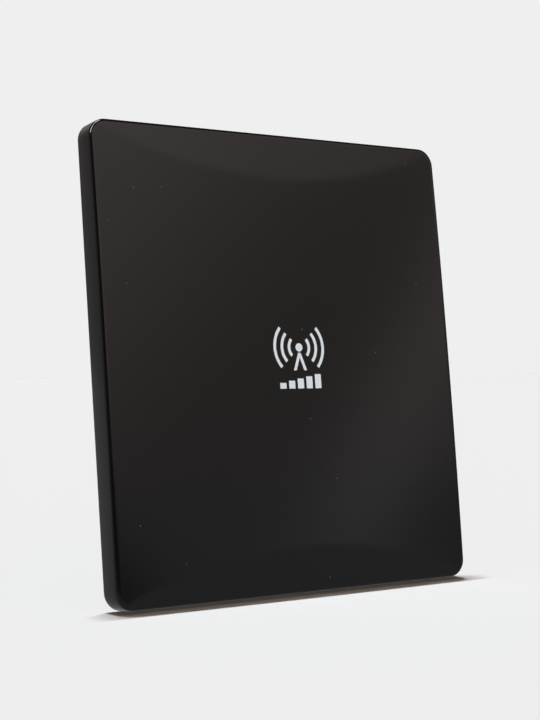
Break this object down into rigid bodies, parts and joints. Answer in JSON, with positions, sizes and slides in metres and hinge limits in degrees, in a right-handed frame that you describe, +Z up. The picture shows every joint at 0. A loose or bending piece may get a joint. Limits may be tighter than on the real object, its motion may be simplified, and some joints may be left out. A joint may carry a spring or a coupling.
{
  "type": "television antenna panel",
  "caption": "Flat glossy black television antenna panel with a gently domed front, leaning back on a fold-out rear leg, with a threaded coaxial socket and bracket holes behind",
  "frame": {"origin": "middle of the footprint of the open object, on the surface that it stands on", "axes": "+Z up, front of the panel facing -Y and leaning back towards +Y, +X to the right seen from the front"},
  "size_m": [0.219, 0.0572, 0.2396],
  "materials": {
    "shell_gloss": "polished black housing",
    "shell_rear": "fine-grained black housing",
    "leg_black": "fine-grained black",
    "rubber_black": "soft matt black",
    "plate_aluminium": "plain stamped sheet",
    "board_green": "green solder mask",
    "tinplate": "bright tinplate",
    "steel": "zinc-plated",
    "nickel": "nickel-plated",
    "brass": "bare brass",
    "gold_contact": "gold-plated",
    "copper_wire": "enamelled copper",
    "chip_black": "moulded package",
    "ceramic_tan": "fired ceramic",
    "ferrite": "dark ferrite",
    "insulator_white": "natural white"
  },
  "bodies": {
    "panel": {"front_cover": "shell_gloss", "rear_cover": "shell_rear", "cover_gasket": "rubber_black", "cover_screws": "steel", "left_element": "plate_aluminium", "right_element": "plate_aluminium", "feed_screws": "brass", "amplifier_board": "board_green", "board_screws": "steel", "shield_frame": "tinplate", "shield_lid": "tinplate", "amplifier_chip": "chip_black", "filter_coils": "copper_wire", "chip_capacitors": "ceramic_tan", "balun_core": "ferrite", "connector_body": "nickel", "connector_insulator": "insulator_white", "connector_contact": "gold_contact", "connector_seal": "rubber_black", "connector_washer": "steel", "connector_nut": "nickel", "bracket_inserts": "brass", "leg_bracket": "leg_black", "bracket_screws": "steel", "leg_pin": "steel"},
    "leg": {"support_leg": "leg_black", "leg_pad": "rubber_black"}
  },
  "joints": [
    {"name": "leg_fold", "type": "hinge", "parent": "panel", "child": "leg", "pos_m": [0, 0.00733, 0.14826], "axis": [-1, 0, 0], "range_deg": [0, 14.9]}
  ]
}
